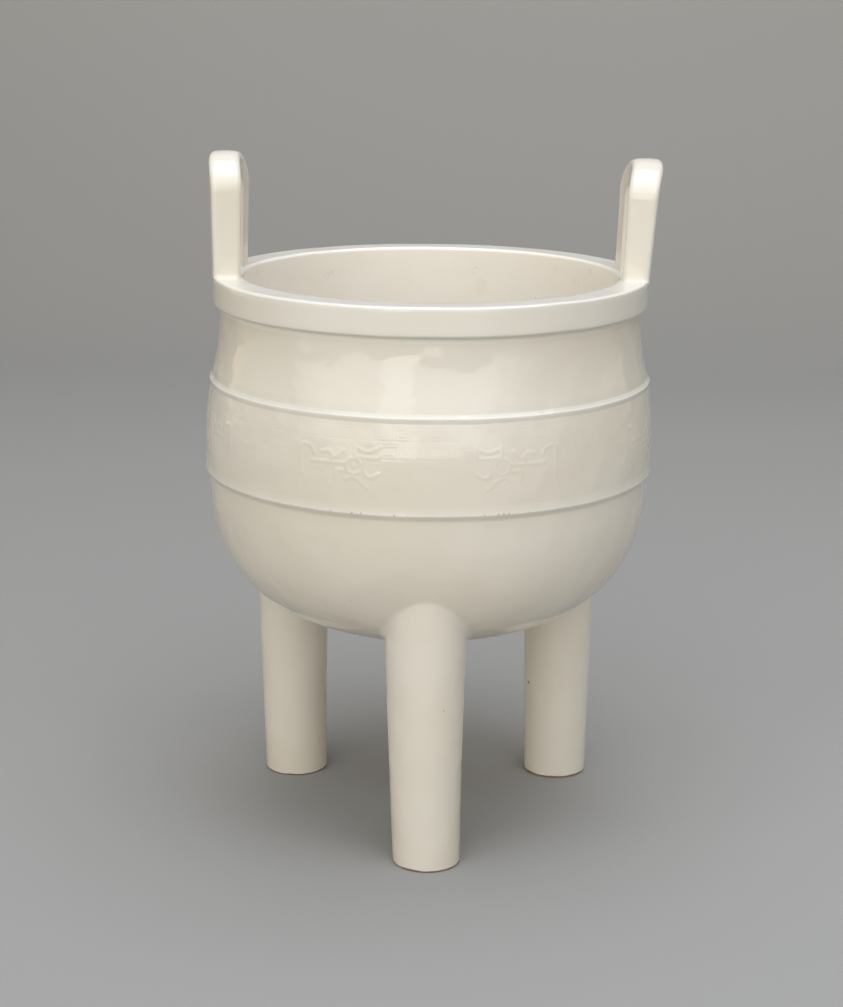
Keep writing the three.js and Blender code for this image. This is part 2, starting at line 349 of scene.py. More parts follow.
def measureLine(line):
    # distance along the line, and its bending: above zero in hollows, below zero on edges
    step = np.linalg.norm(np.diff(line, axis=0), axis=1)
    along = np.concatenate([[0], np.cumsum(step)])
    heading = np.unwrap(np.arctan2(np.diff(line[:, 1]), np.diff(line[:, 0])))
    fine = np.arange(0, along[-1], drawing["bendStep"])
    facing = np.interp(fine, (along[1:] + along[:-1]) / 2, heading)
    window = np.hanning(drawing["bendWindow"])
    window /= window.sum()
    smooth = np.convolve(np.pad(facing, len(window) // 2, mode="edge"), window, mode="valid")
    bend = -np.gradient(smooth, fine)
    return along, np.interp(along, fine, bend), heading


def pickRows(line, longest, sharpest):
    # rows no further apart than longest, and turning no more than sharpest degrees
    along, bend, heading = measureLine(line)
    step = np.diff(along)
    turn = np.abs(np.diff(heading, prepend=heading[0]))
    cost = np.concatenate([[0], np.cumsum(step / longest + turn / math.radians(sharpest))])
    count = int(math.ceil(cost[-1])) + 1
    spots = np.interp(np.linspace(0, cost[-1], count), cost, along)
    across = np.interp(spots, along, line[:, 0])
    height = np.interp(spots, along, line[:, 1])
    return across, height, np.interp(spots, along, bend)


section = vesselLine()
seamLow = body["lowerStringHeight"] - body["seamBelow"]
seamHigh = body["upperStringHeight"] + body["seamAbove"]


def cutSection(line):
    # the section's stretch below the band, the band with its two strings, and the rest
    outer = np.argmax(line[:, 1] > rimTop - 0.5 * body["rimEdge"])
    first = np.argmax(line[:outer, 1] > seamLow)
    second = np.argmax(line[:outer, 1] > seamHigh)

    def onLine(index, height):
        low = line[index - 1]
        high = line[index]
        share = (height - low[1]) / (high[1] - low[1])
        return low + (high - low) * share

    lowSpot = onLine(first, seamLow)
    highSpot = onLine(second, seamHigh)
    below = np.vstack([line[:first], lowSpot])
    band = np.vstack([lowSpot, line[first:second], highSpot])
    above = np.vstack([highSpot, line[second:]])
    return below, band, above


belowLine, bandLine, aboveLine = cutSection(section)
print("section drawn,", len(section), "points")


# Turned body

turning = {
    "sides": 240,
    "longestStep": 2.0,
    "sharpestTurn": 11,
    # behind the relief panels the body lies deeper, on rows between two heights
    "recess": 1.2,
    "recessRows": 12,
    "recessHeights": (150, 160),
    "recessGap": 0.3,
    # the inside's colour, a warmer glaze painted brighter as painted light, and its stains start this far
    # outside the mouth
    "mouthMargin": 1.0,
}


def turnedBody(clay):
    belowRows = pickRows(belowLine, turning["longestStep"], turning["sharpestTurn"])
    aboveRows = pickRows(aboveLine, turning["longestStep"], turning["sharpestTurn"])
    recess = turning["recess"]
    gap = turning["recessGap"]
    heights = turning["recessHeights"]
    bandHeights = np.linspace(seamLow + gap, seamHigh - gap, turning["recessRows"])
    bandAcross = np.interp(bandHeights, [seamLow, *heights, seamHigh], [
        belowRows[0][-1] - recess,
        *[float(bandRadiusAt(height)) - recess for height in heights],
        aboveRows[0][0] - recess,
    ])
    across = np.concatenate([belowRows[0][1:], bandAcross, aboveRows[0][:-1]])
    height = np.concatenate([belowRows[1][1:], bandHeights, aboveRows[1][:-1]])
    pool = np.concatenate([belowRows[2][1:], 0 * bandHeights, aboveRows[2][:-1]])
    nearMouth = across < body["mouthRadius"] + turning["mouthMargin"]
    mouthRow = np.argmax(nearMouth & (height > rimTop - body["rimHeight"]))
    inside = (np.arange(len(across)) >= mouthRow).astype(float)
    sides = turning["sides"]
    angle = np.arange(sides) * 2 * math.pi / sides
    points = np.empty((len(across), sides, 3))
    points[:, :, 0] = across[:, None] * np.cos(angle)
    points[:, :, 1] = across[:, None] * np.sin(angle)
    points[:, :, 2] = height[:, None]
    rows = len(across)
    faces = gridFaces(rows, sides)
    bottom = rows * sides
    faces += fanFaces(bottom, sides, 0, False)
    faces += fanFaces(bottom + 1, sides, (rows - 1) * sides, True)
    poles = np.array([(0, 0, belowRows[1][0]), (0, 0, aboveRows[1][-1])])
    allPoints = np.concatenate([points.reshape(-1, 3), poles])
    poolMarks = np.concatenate([np.repeat(pool, sides), [0, 0]])
    insideMarks = np.concatenate([np.repeat(inside, sides), [0, 1]])
    clay.add(allPoints, faces, poolMarks, insideMarks)


# Legs, with a soft fillet where they meet the bowl

leg = {
    "footRadius": 12.7,
    "rootRadius": {"front": 14.7, "right": 14.2, "left": 14.2},
    "rootHeight": 75.4,
    "taper": 1.15,
    "taperUpTo": 1.35,
    "fillet": 4.0,
    "footEdge": 0.9,
    "sides": 112,
    "longestStep": 2.2,
    # how far the root of a leg stands beside its foot, and the height above which it is upright
    "setBeside": {"front": -1.0, "right": 0.0, "left": -0.6},
    "uprightFrom": 70.0,
    "leaning": 1.4,
    # near its fillet the leg widens to a little more than its root
    "widenFrom": 0.8,
    "widening": 1.02,
    # beyond the fillet the shell runs under the bowl's surface: how far out and how deep
    "tuck": [(0.35, 0.004), (0.8, 0.05), (1.6, 0.5)],
    "capDepth": 0.4,
    # heights between which the fillet's middle is looked for, samples of the bowl and rounds
    "searchHeights": (60.0, 130.0),
    "searchSamples": 240,
    "searchRounds": 40,
    "edgeRows": 6,
    "filletRows": 13,
    # thin glaze on the foot's edge, thick in the fillet
    "edgePool": -0.5,
    "filletPool": 0.25,
}


def legRadiusAt(height, rootRadius):
    share = np.clip(height / leg["rootHeight"], 0, leg["taperUpTo"])
    return leg["footRadius"] + (rootRadius - leg["footRadius"]) * share ** leg["taper"]


def legShell(clay, foot, side):
    rootRadius = leg["rootRadius"][side]
    beside = leg["setBeside"][side]
    centre = Vector((foot.x + beside, foot.y, 0))
    sides = leg["sides"]
    fillet = leg["fillet"]
    distance = math.hypot(centre.x, centre.y)
    facing = math.atan2(centre.y, centre.x)
    angle = np.arange(sides) * 2 * math.pi / sides

    def bowlAbove(out):
        fromAxis = np.sqrt(distance**2 + out**2 + 2 * distance * out * np.cos(angle)[:, None])
        return bowlUndersideAt(fromAxis)

    # the fillet's middle is found by closing in on the height at which it just touches the bowl
    touching = rootRadius * leg["widening"]
    middleOut = touching + fillet
    out = np.linspace(touching - 1, touching + 3 * fillet, leg["searchSamples"])[None, :]
    surface = bowlAbove(out)
    low, high = (np.full(sides, height) for height in leg["searchHeights"])
    for _ in range(leg["searchRounds"]):
        middle = (low + high) / 2
        gap = np.sqrt((out - middleOut) ** 2 + (surface - middle[:, None]) ** 2).min(axis=1)
        above = middle > bowlAbove(np.array([[middleOut]]))[:, 0]
        tooHigh = above | (gap < fillet)
        high = np.where(tooHigh, middle, high)
        low = np.where(tooHigh, low, middle)
    middle = low
    nearest = ((out - middleOut) ** 2 + (surface - middle[:, None]) ** 2).argmin(axis=1)
    touchOut = out[0, nearest]
    touchHeight = surface[np.arange(sides), nearest]
    lastAngle = np.arctan2(touchHeight - middle, touchOut - middleOut)

    rows = []
    pool = []
    edge = leg["footEdge"]
    for turn in np.linspace(0, math.pi / 2, leg["edgeRows"]):
        rowOut = leg["footRadius"] - edge + edge * math.sin(turn)
        rows.append((np.full(sides, rowOut), np.full(sides, edge - edge * math.cos(turn))))
        pool.append(leg["edgePool"])
    straight = int(math.ceil((body["underside"] - edge) / leg["longestStep"]))
    for share in np.linspace(0, 1, straight + 1)[1:]:
        height = edge + (middle - edge) * share
        wanted = legRadiusAt(height, rootRadius)
        blend = softStep((share - leg["widenFrom"]) / (1 - leg["widenFrom"]))
        rows.append((wanted + (touching - wanted) * blend, height))
        pool.append(0.0)
    for share in np.linspace(0, 1, leg["filletRows"])[1:]:
        turn = math.pi + (lastAngle - math.pi) * share
        rows.append((middleOut + fillet * np.cos(turn), middle + fillet * np.sin(turn)))
        pool.append(leg["filletPool"] * math.sin(math.pi * share))
    for further, deeper in leg["tuck"]:
        rowOut = touchOut + further
        rows.append((rowOut, bowlAbove(rowOut[:, None])[:, 0] + deeper))
        pool.append(0.0)

    points = np.empty((len(rows), sides, 3))
    for row, (rowOut, rowHeight) in enumerate(rows):
        points[row, :, 0] = centre.x + rowOut * np.cos(facing + angle)
        points[row, :, 1] = centre.y + rowOut * np.sin(facing + angle)
        points[row, :, 2] = rowHeight
    faces = gridFaces(len(rows), sides)
    sole = len(rows) * sides
    faces += fanFaces(sole, sides, 0, False)
    faces += fanFaces(sole + 1, sides, (len(rows) - 1) * sides, True)
    capHeight = float(bowlUndersideAt(np.array(distance))) + leg["capDepth"] * body["wall"]
    poles = [(centre.x, centre.y, 0), (centre.x, centre.y, capHeight)]
    allPoints = np.concatenate([points.reshape(-1, 3), poles])
    lowness = np.clip(1 - allPoints[:, 2] / leg["uprightFrom"], 0, 1)
    allPoints[:, 0] -= beside * lowness ** leg["leaning"]
    clay.add(allPoints, faces, np.concatenate([np.repeat(pool, sides), [0, 0]]))


# Handles, bars of clay bent over an opening

handle = {
    "rise": {"left": vesselTop - rimTop - 0.1, "right": vesselTop - rimTop - 1.8},
    "lean": {"left": -0.6, "right": 3.2},
    "overhang": 0.5,
    "leanFrom": -5.0,
    "span": 39.6,
    "bar": 11.4,
    "footDepth": 10.1,
    "crownDepth": 11.8,
    "shoulder": 13.0,
    "innerShoulder": 5.5,
    "rounding": 2.1,
    "crownSwelling": 0.5,
    "foot": 1.8,
    "root": 4.0,
    "footSlant": 0.22,
    "footHeights": (-1.0, -0.2, 0.0, 0.15, 0.3, 0.5, 0.75, 1.1, 1.5, 2.0, 2.8, 4.0),
    "sideFrom": 5.5,
    "sideUpTo": 0.985,
    "sideSections": 17,
    "crownSections": 61,
    "crownSharpness": 4,
    "cornerSteps": 8,
    "flatSteps": 6,
    # thin glaze on the edges, thick at the foot
    "edgePool": 0.6,
    "footPool": 0.7,
    "footRounding": 0.3,
}


def roundedBar(length, depth, size):
    # ring of a bar's section: x across the bar from inner to outer side, y through its thickness
    ring = []
    edge = []
    halfLength = length / 2
    halfDepth = depth / 2
    for quarter, (sideX, sideY) in enumerate([(1, 1), (-1, 1), (-1, -1), (1, -1)]):
        for k in range(handle["cornerSteps"] + 1):
            turn = math.radians(90 * (quarter + k / handle["cornerSteps"]))
            x = sideX * (halfLength - size) + size * math.cos(turn)
            y = sideY * (halfDepth - size) + size * math.sin(turn)
            ring.append((x, y))
            edge.append(-math.sin(math.pi * k / handle["cornerSteps"]))
        nextX, nextY = [(-1, 1), (-1, -1), (1, -1), (1, 1)][quarter]
        x0, y0 = ring[-1]
        turn = math.radians(90 * (quarter + 1))
        x1 = nextX * (halfLength - size) + size * math.cos(turn)
        y1 = nextY * (halfDepth - size) + size * math.sin(turn)
        for k in range(1, handle["flatSteps"]):
            share = k / handle["flatSteps"]
            ring.append((x0 + (x1 - x0) * share, y0 + (y1 - y0) * share))
            edge.append(0.0)
    return np.array(ring), np.array(edge)


def handleStations(rise):
    # pairs of points on the outer and the inner outline, from one foot over the crown to the other
    outerHalf = handle["span"] / 2
    innerHalf = outerHalf - handle["bar"]
    springing = rise - handle["shoulder"]
    innerSpringing = rise - handle["bar"] - handle["innerShoulder"]
    up = []
    side = np.linspace(handle["sideFrom"], handle["sideUpTo"] * springing, handle["sideSections"])
    for height in (-handle["root"], *handle["footHeights"], *side):
        up.append((-outerHalf, height, -innerHalf, min(height, innerSpringing)))
    arch = []
    for turn in np.linspace(math.pi, 0, handle["crownSections"]):
        arch.append((
            outerHalf * math.cos(turn),
            springing + handle["shoulder"] * math.sin(turn),
            innerHalf * math.cos(turn),
            innerSpringing + handle["innerShoulder"] * math.sin(turn),
        ))
    down = [(-ox, oy, -ix, iy) for ox, oy, ix, iy in reversed(up)]
    return up + arch + down


def handleShell(clay, rise, lean, facing):
    middleFoot = body["rimRadius"] - handle["footDepth"] / 2
    leanShare = math.tan(math.radians(lean))
    stations = handleStations(rise)
    rings = []
    pool = []
    for outerX, outerY, innerX, innerY in stations:
        length = math.hypot(outerX - innerX, outerY - innerY)
        grown = min(max(outerY / rise, 0), 1)
        depth = handle["footDepth"] + (handle["crownDepth"] - handle["footDepth"]) * grown
        height = (outerY + innerY) / 2
        flare = 0.0
        if height < handle["foot"]:
            down = handle["foot"] - max(height, 0)
            flare = handle["foot"] - math.sqrt(handle["foot"] ** 2 - down**2)
        rounding = handle["rounding"] + handle["footRounding"] * flare
        ring, edge = roundedBar(length + 2 * flare, depth, rounding)
        share = ring[:, 0] / length + 0.5
        x = innerX + (outerX - innerX) * share
        y = innerY + (outerY - innerY) * share
        crown = math.sin(math.pi * (len(rings) / (len(stations) - 1))) ** handle["crownSharpness"]
        across = ring[:, 1] / (depth / 2)
        lift = handle["crownSwelling"] * crown * (1 - across**2) * np.clip(share, 0, 1)
        y = y - handle["crownSwelling"] * crown * np.clip(share, 0, 1) + lift
        fromAxis = middleFoot + handle["overhang"] + leanShare * (y - handle["leanFrom"]) + ring[:, 1]
        fromAxis = np.where(y < 0, fromAxis + handle["footSlant"] * y, fromAxis)
        turn = facing + x / middleFoot
        rings.append(np.stack([fromAxis * np.cos(turn), fromAxis * np.sin(turn), rimTop + y], axis=1))
        pool.append(handle["edgePool"] * edge + handle["footPool"] * flare / handle["foot"])
    size = len(rings[0])
    faces = [tuple(reversed(face)) for face in gridFaces(len(rings), size)]
    faces.append(tuple(range(size)))
    start = (len(rings) - 1) * size
    faces.append(tuple(start + i for i in reversed(range(size))))
    clay.add(np.concatenate(rings), faces, np.concatenate(pool))


print("shapes ready")

clay = Clay()
turnedBody(clay)
for side, mount in (("front", "foot_front"), ("right", "foot_rear_right"), ("left", "foot_rear_left")):
    legShell(clay, mounts[mount], side)
for side, facing in (("right", 0.0), ("left", math.pi)):
    handleShell(clay, handle["rise"][side], handle["lean"][side], facing)
vessel = clay.makePiece("vessel")
print("vessel thrown,", len(vessel.data.polygons), "faces")


# Relief band: four masks on a ground of angular spirals, all softened by the glaze

relief = {
    "masks": 4,
    "firstSeed": 11,
    "cell": 0.27,
    "circleRadius": 85.2,
    "strokeRise": 0.095,
    "strokeWidth": 1.3,
    "softness": 1.2,
    "eyeRadius": 2.85,
    "pupilRadius": 1.4,
    "groundRise": 0.03,
    "groundPitch": 1.0,
    "groundLine": 0.5,
    "groundSoftness": 0.42,
    "faintestSpiral": 0.35,
    "groundClearance": 0.9,
    "margin": 1.0,
    "flangeShare": 0.3,
    "pupilShare": 0.8,
    # the relief fades out beside the strings, whose half widths are the measure, over this height
    "stringClearance": 1.4,
    "fadeHeight": 0.8,
    "poolShare": 4.0,
    "thickness": 1.6,
    "sharpestTurn": 9,
}

# strokes of the right half of a mask: distance from its middle along the band, and height
maskStrokes = {
    "brow": [(29.6, 157.7), (42.4, 157.5)],
    "hornOuter": [(34.6, 157.6), (34.6, 160.6), (36.0, 161.7), (38.6, 161.1)],
    "hornInner": [(34.4, 160.0), (33.0, 159.6), (30.4, 162.2)],
    "foreheadInner": [(16.9, 164.2), (17.0, 161.0), (17.8, 160.2), (25.4, 160.2)],
    "foreheadOuter": [(25.4, 160.2), (26.0, 161.0), (26.0, 163.9)],
    "foreheadTop": [(18.2, 163.4), (20.2, 162.3), (22.4, 162.3), (24.6, 163.2)],
    "nostril": [(22.5, 159.6), (22.5, 155.2), (21.6, 153.7), (19.5, 153.2), (17.4, 154.6)],
    "jaw": [(29.2, 152.0), (27.4, 153.0), (25.5, 152.7), (23.2, 151.0), (21.2, 149.2)],
    "hook": [(30.4, 155.1), (33.0, 155.1), (33.2, 151.8)],
    "ear": [(47.3, 152.6), (47.3, 162.4), (46.4, 163.3), (43.2, 162.8), (41.7, 160.4)],
    "flangeInner": [(48.6, 142.0), (48.6, 171.6)],
}
eyeSpot = (26.3, 157.0)


def distanceToStroke(u, z, stroke):
    best = np.full(u.shape, 1e3)
    for (u0, z0), (u1, z1) in zip(stroke[:-1], stroke[1:]):
        runU = u1 - u0
        runZ = z1 - z0
        share = ((u - u0) * runU + (z - z0) * runZ) / (runU**2 + runZ**2)
        share = np.clip(share, 0, 1)
        best = np.minimum(best, np.hypot(u - u0 - share * runU, z - z0 - share * runZ))
    return best


def maskRise(u, z):
    # height of the mask's strokes, and how near a stroke is
    soft = relief["softness"]
    half = relief["strokeWidth"] / 2
    side = np.abs(u)
    rise = np.zeros(u.shape)
    near = np.full(u.shape, 1e3)
    for name, stroke in maskStrokes.items():
        gap = distanceToStroke(side, z, stroke)
        share = relief["flangeShare"] if name == "flangeInner" else 1.0
        rise = np.maximum(rise, share * softStep((half + soft / 2 - gap) / soft))
        near = np.minimum(near, gap)
    fromEye = np.hypot(side - eyeSpot[0], z - eyeSpot[1])
    ring = np.abs(fromEye - relief["eyeRadius"])
    rise = np.maximum(rise, softStep((half + soft / 2 - ring) / soft))
    pupil = softStep((relief["pupilRadius"] + soft / 2 - fromEye) / (2 * soft))
    rise = np.maximum(rise, relief["pupilShare"] * pupil)
    near = np.minimum(near, np.maximum(fromEye - relief["eyeRadius"], 0))
    return rise * relief["strokeRise"], near


def angularSpiral(left, low, width, height, pitch, clockwise):
    # one continuous line that winds into a rectangle
    line = [(left, low)]
    u0, z0, u1, z1 = left, low, left + width, low + height
    while u1 - u0 > pitch and z1 - z0 > pitch:
        line += [(u0, z1), (u1, z1), (u1, z0), (u0 + pitch, z0)]
        u0 += pitch
        z0 += pitch
        u1 -= pitch
        z1 -= pitch
    if not clockwise:
        line = [(2 * left + width - u, z) for u, z in line]
    return line


groundRows = [
    # lowest line, height, width of one spiral, strength
    (167.0, 4.6, 5.4, 1.0),
    (160.6, 5.0, 8.2, 0.8),
    (154.6, 4.6, 9.0, 0.8),
    (148.6, 4.6, 7.4, 0.6),
    (142.9, 4.4, 6.6, 0.45),
]


def groundRise(u, z, seed):
    # u and z are the columns and rows of the panel
    chance = np.random.default_rng(seed)
    pitch = relief["groundPitch"]
    margin = relief["margin"]
    faintest = relief["faintestSpiral"]
    edge = math.pi * relief["circleRadius"] / relief["masks"]
    rise = np.zeros((len(z), len(u)))
    for low, height, width, strength in groundRows:
        rowsHere = np.where((z > low - margin) & (z < low + height + margin))[0]
        count = int(2 * (edge - margin) // (width + pitch))
        spare = 2 * (edge - margin) - count * (width + pitch)
        left = -edge + margin + spare / 2 + pitch / 2
        for k in range(count):
            start = left + k * (width + pitch)
            fade = strength * (faintest + (1 - faintest) * chance.random())
            columns = np.where((u > start - margin) & (u < start + width + margin))[0]
            gridU, gridZ = np.meshgrid(u[columns], z[rowsHere])
            spiral = angularSpiral(start, low, width, height, pitch, k % 2 == 0)
            gap = distanceToStroke(gridU, gridZ, spiral)
            line = softStep((pitch * relief["groundLine"] - gap) / (pitch * relief["groundSoftness"]))
            window = np.ix_(rowsHere, columns)
            rise[window] = np.maximum(rise[window], fade * line)
    return rise * relief["groundRise"]


def reliefPanel(name, facing, seed):
    across, height, bend = pickRows(bandLine, relief["cell"], relief["sharpestTurn"])
    edge = math.pi * relief["circleRadius"] / relief["masks"]
    columns = int(2 * edge / relief["cell"])
    u = np.linspace(-edge, edge, columns)
    gridU, gridZ = np.meshgrid(u, height)
    strokes, near = maskRise(gridU, gridZ)
    ground = groundRise(u, height, seed) * softStep(near - relief["groundClearance"])
    clearance = relief["stringClearance"] * body["stringHalfWidth"]
    low = body["lowerStringHeight"] + clearance
    high = body["upperStringHeight"] - clearance
    fade = softStep((gridZ - low) / relief["fadeHeight"]) * softStep((high - gridZ) / relief["fadeHeight"])
    fade = fade * softStep(edge - np.abs(gridU))
    rise = (strokes + ground) * fade
    turn = facing + gridU / relief["circleRadius"]
    fromAxis = across[:, None] + rise
    points = np.stack([fromAxis * np.cos(turn), fromAxis * np.sin(turn), gridZ], axis=2)
    rows = len(height)
    outer = points.reshape(-1, 3)
    faces = gridFaces(rows, columns, wrap=False)
    # the back of the panel lies inside the wall
    back = []
    for row in (0, rows - 1):
        inner = across[row] - relief["thickness"]
        back.append(np.stack([
            inner * np.cos(turn[row]),
            inner * np.sin(turn[row]),
            np.full(columns, height[row]),
        ], axis=1))
    lowBack = rows * columns
    highBack = lowBack + columns
    top = (rows - 1) * columns
    for k in range(columns - 1):
        faces.append((lowBack + k, lowBack + k + 1, k + 1, k))
        faces.append((top + k, top + k + 1, highBack + k + 1, highBack + k))
        faces.append((lowBack + k + 1, lowBack + k, highBack + k, highBack + k + 1))
    leftSide = [row * columns for row in range(rows)] + [highBack, lowBack]
    rightSide = [row * columns + columns - 1 for row in range(rows)]
    rightSide += [highBack + columns - 1, lowBack + columns - 1]
    faces.append(tuple(leftSide))
    faces.append(tuple(reversed(rightSide)))
    # glaze lies thicker beside the strokes and thinner on them
    hollow = np.zeros(rise.shape)
    hollow[1:-1, 1:-1] = (rise[:-2, 1:-1] + rise[2:, 1:-1] + rise[1:-1, :-2] + rise[1:-1, 2:]) / 4
    hollow[1:-1, 1:-1] -= rise[1:-1, 1:-1]
    pool = np.repeat(bend, columns).reshape(rise.shape) + relief["poolShare"] * hollow
    panel = Clay()
    marks = np.concatenate([pool.ravel(), np.zeros(2 * columns)])
    panel.add(np.concatenate([outer] + back), faces, marks)
    return panel.makePiece(name)


bands = []
for order, side in enumerate(("front", "right", "back", "left")):
    facing = -math.pi / 2 + order * math.pi / 2
    bands.append(reliefPanel("mask_band_" + side, facing, relief["firstSeed"] + order))
    print("relief pressed:", side, len(bands[-1].data.polygons), "faces")


# Glaze

glaze = {
    "ivory": (0.775, 0.728, 0.640),
    "cream": (0.750, 0.690, 0.580),
    "pooled": (0.735, 0.745, 0.655),
    "thin": (0.82, 0.79, 0.72),
    # inside: a warmer glaze tone, also painted lighter than the ivory as painted light on the inner wall
    "inside": (0.890, 0.842, 0.758),
    "stain": (0.52, 0.36, 0.20),
    "speck": (0.10, 0.07, 0.045),
    "rust": (0.50, 0.27, 0.11),
    "bareFoot": (0.34, 0.20, 0.10),
    "bareClay": (0.66, 0.60, 0.50),
    # slow clouds of tone: fineness of the noise, and where one tone gives way to the other
    "cloudScale": 14.0,
    "cloudRange": (0.35, 0.68),
    # where the glaze counts as thick and as thin, and how far its colour then goes
    "poolRange": (0.05, 0.9),
    "poolDepth": 0.75,
    "thinRange": (-0.1, -0.8),
    "thinDepth": 0.8,
    "insideTintAndLightDepth": 0.9,
    "stainScale": 38.0,
    "stainRange": (0.58, 0.74),
    "stainDepth": 0.14,
    # the rusty stains inside are broken up into fine grains
    "grainScale": 1300.0,
    "grainRange": (0.47, 0.72),
    "grainDepth": 0.40,
    "grainReach": 1.5,
    "speckEdge": 0.35,
    "edgeSpeckHeight": 140.0,
    "edgeSpeckReach": 0.85,
    "edgeSpeckDepth": 0.6,
    # bare feet: the ragged height of the bare edge, and the heights between which the sole begins
    "bareHeights": (0.5, 1.0),
    "bareScale": 110.0,
    "soleHeights": (0.25, 0.05),
    "roughness": 0.035,
    "roughnessShares": (0.8, 1.5),
    "roughnessScale": 90.0,
    "bareRoughness": 0.75,
    "ior": 1.5,
    # slow ripple, calmer from the rim upwards, and fine pits
    "rippleDepth": 0.8,
    "rippleScale": 70.0,
    "calmHeights": (205.0, 200.0),
    "calmShare": 0.2,
    "pitDepth": 0.01,
    "pitScale": 900.0,
}

# specks burnt into the glaze: place, radius and depth of colour
specks = [
    (-68.6, -53.4, 140.4, 0.55, 1.0),
    (-27.7, -72.3, 104.8, 0.7, 0.9),
    (42.3, 25.7, 39.7, 0.9, 1.0),
    (6.3, -76.1, 64.0, 0.35, 0.8),
    (43.0, 60.0, 194.5, 0.6, 0.7),
    (22.2, -79.6, 202.6, 0.5, 0.5),
]

# faint rusty stains on the inside: place and radius
rustyStains = [
    (18.4, 70.1, 204.4, 1.8), (58.2, 43.7, 202.5, 2.6), (63.3, 33.7, 209.3, 1.6), (-41.3, 59.6, 203.3, 2.4),
    (-30.0, 64.0, 197.0, 1.5), (50.0, 52.0, 207.0, 1.4), (66.0, 28.0, 200.0, 2.2), (10.0, 71.0, 196.0, 1.2),
]

# rusty specks along the lower edge of the band: distance from the front along the edge and radius
edgeSpecks = [
    (-52.0, 0.45), (-41.0, 0.35), (-35.5, 0.55), (-27.5, 0.7), (-24.0, 0.6), (-12.0, 0.65), (-7.5, 0.3),
    (2.0, 0.3), (12.0, 0.3), (20.0, 0.55), (25.0, 0.6), (27.0, 0.7), (29.0, 0.65), (37.0, 0.5), (61.0, 0.4),
    (84.0, 0.5), (97.0, 0.4), (131.0, 0.5), (160.0, 0.45), (188.0, 0.5), (221.0, 0.4), (247.0, 0.6),
    (294.0, 0.5), (330.0, 0.4), (362.0, 0.5), (401.0, 0.4),
]


def addNode(tree, kind, **values):
    node = tree.nodes.new(kind)
    for name, value in values.items():
        setattr(node, name, value)
    return node


def mixColour(tree, factor, first, second):
    node = addNode(tree, "ShaderNodeMix", data_type="RGBA")
    for socket, value in ((0, factor), (6, first), (7, second)):
        if isinstance(value, bpy.types.NodeSocket):
            tree.links.new(value, node.inputs[socket])
        elif socket == 0:
            node.inputs[0].default_value = value
        else:
            node.inputs[socket].default_value = (*value, 1)
    return node.outputs[2]


def mapValue(tree, value, low, high, toLow=0.0, toHigh=1.0):
    node = addNode(tree, "ShaderNodeMapRange", interpolation_type="SMOOTHSTEP")
    tree.links.new(value, node.inputs["Value"])
    node.inputs["From Min"].default_value = low
    node.inputs["From Max"].default_value = high
    node.inputs["To Min"].default_value = toLow
    node.inputs["To Max"].default_value = toHigh
    return node.outputs["Result"]


def noiseValue(tree, place, scale, detail=3.0, roughness=0.5):
    node = addNode(tree, "ShaderNodeTexNoise")
    tree.links.new(place, node.inputs["Vector"])
    node.inputs["Scale"].default_value = scale
    node.inputs["Detail"].default_value = detail
    node.inputs["Roughness"].default_value = roughness
    return node.outputs["Fac"]


def multiplied(tree, first, second):
    node = addNode(tree, "ShaderNodeMath", operation="MULTIPLY")
    for socket, value in enumerate((first, second)):
        if isinstance(value, bpy.types.NodeSocket):
            tree.links.new(value, node.inputs[socket])
        else:
            node.inputs[socket].default_value = value
    return node.outputs[0]


def speckMask(tree, place, spot, radius):
    # one in the middle of a round spot, falling to nothing at its edge
    gap = addNode(tree, "ShaderNodeVectorMath", operation="DISTANCE")
    tree.links.new(place, gap.inputs[0])
    gap.inputs[1].default_value = [value * mm for value in spot]
    return mapValue(tree, gap.outputs["Value"], radius * mm, glaze["speckEdge"] * radius * mm)


def bumpNode(tree, relief, depth):
    # small relief of the surface, its depth in millimetres
    node = addNode(tree, "ShaderNodeBump")
    node.inputs["Strength"].default_value = 1.0
    node.inputs["Distance"].default_value = depth * mm
    tree.links.new(relief, node.inputs["Height"])
    return node


